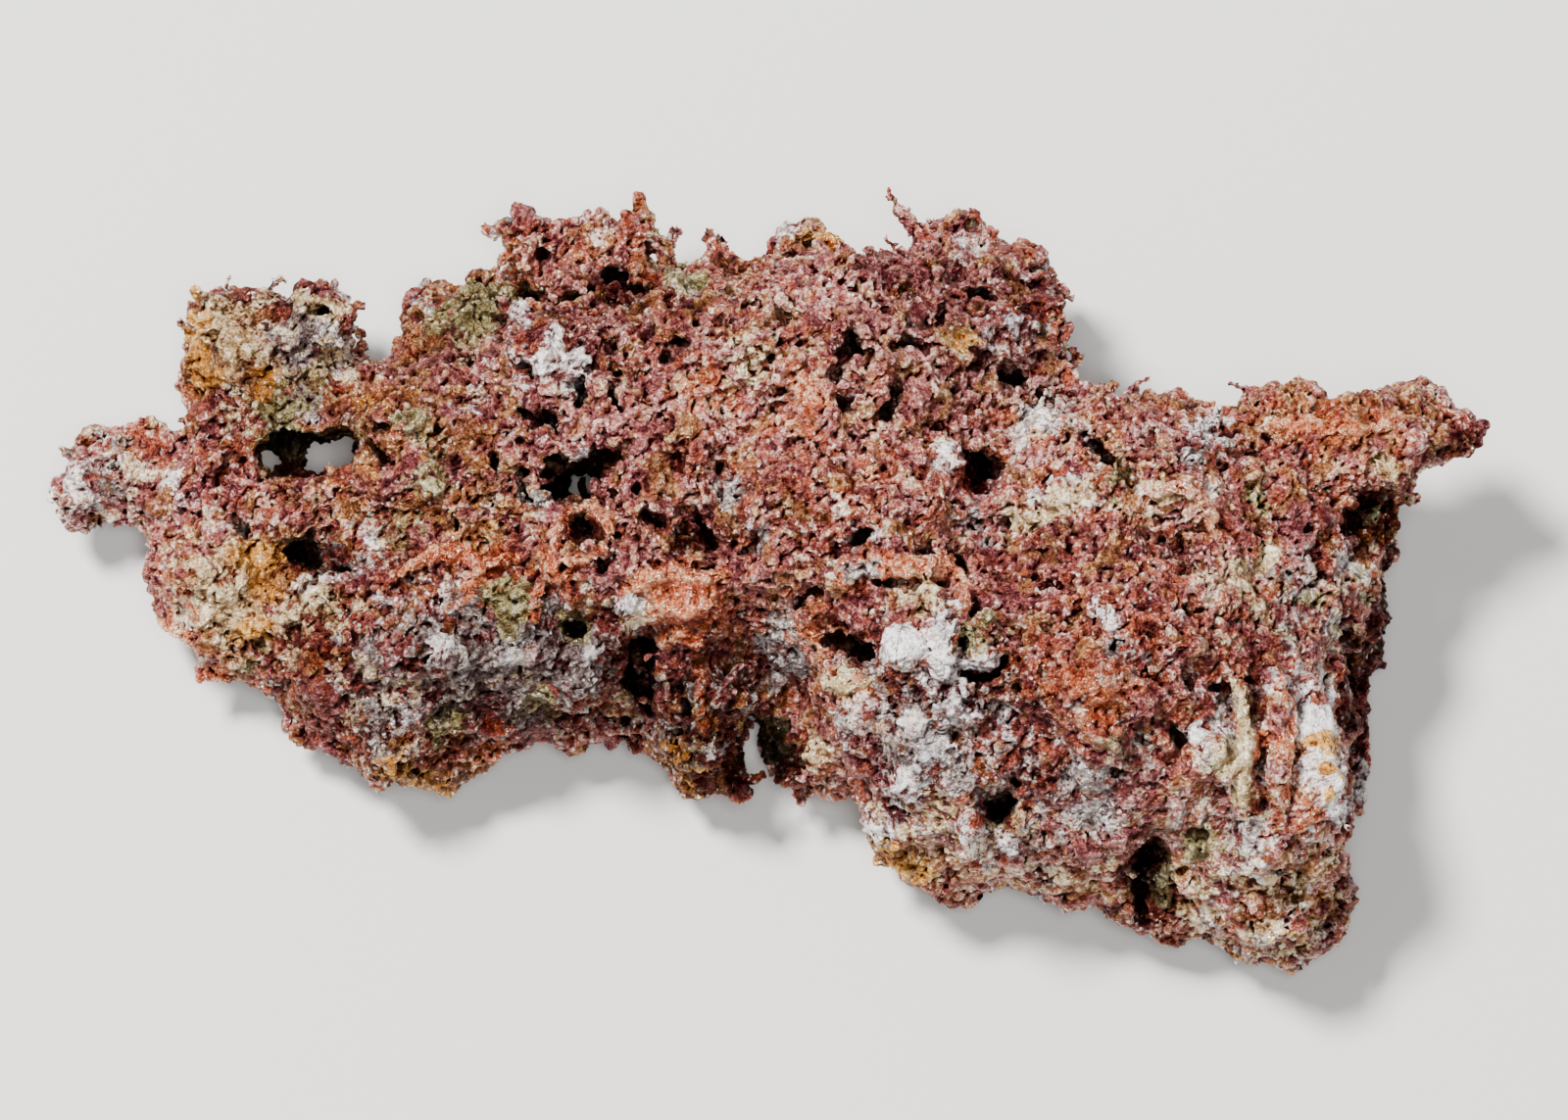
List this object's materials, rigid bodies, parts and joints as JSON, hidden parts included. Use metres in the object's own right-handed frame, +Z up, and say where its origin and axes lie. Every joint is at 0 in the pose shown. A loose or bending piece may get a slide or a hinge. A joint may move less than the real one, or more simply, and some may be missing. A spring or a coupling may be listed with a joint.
{
  "type": "native copper nugget",
  "caption": "Spongy natural copper specimen grown through granular white quartz, lying on its broad back.",
  "frame": {"origin": "middle of the footprint's bounding box, on the plane the nugget rests on", "axes": "+X along the length from the thin left arm to the thick right block, +Y across to the side with the standing sprigs, +Z up out of the convex face"},
  "size_m": [0.08, 0.0442, 0.0262],
  "materials": {
    "native_copper": "matte"
  },
  "bodies": {
    "root": {"copper_nugget": "native_copper"}
  },
  "joints": []
}
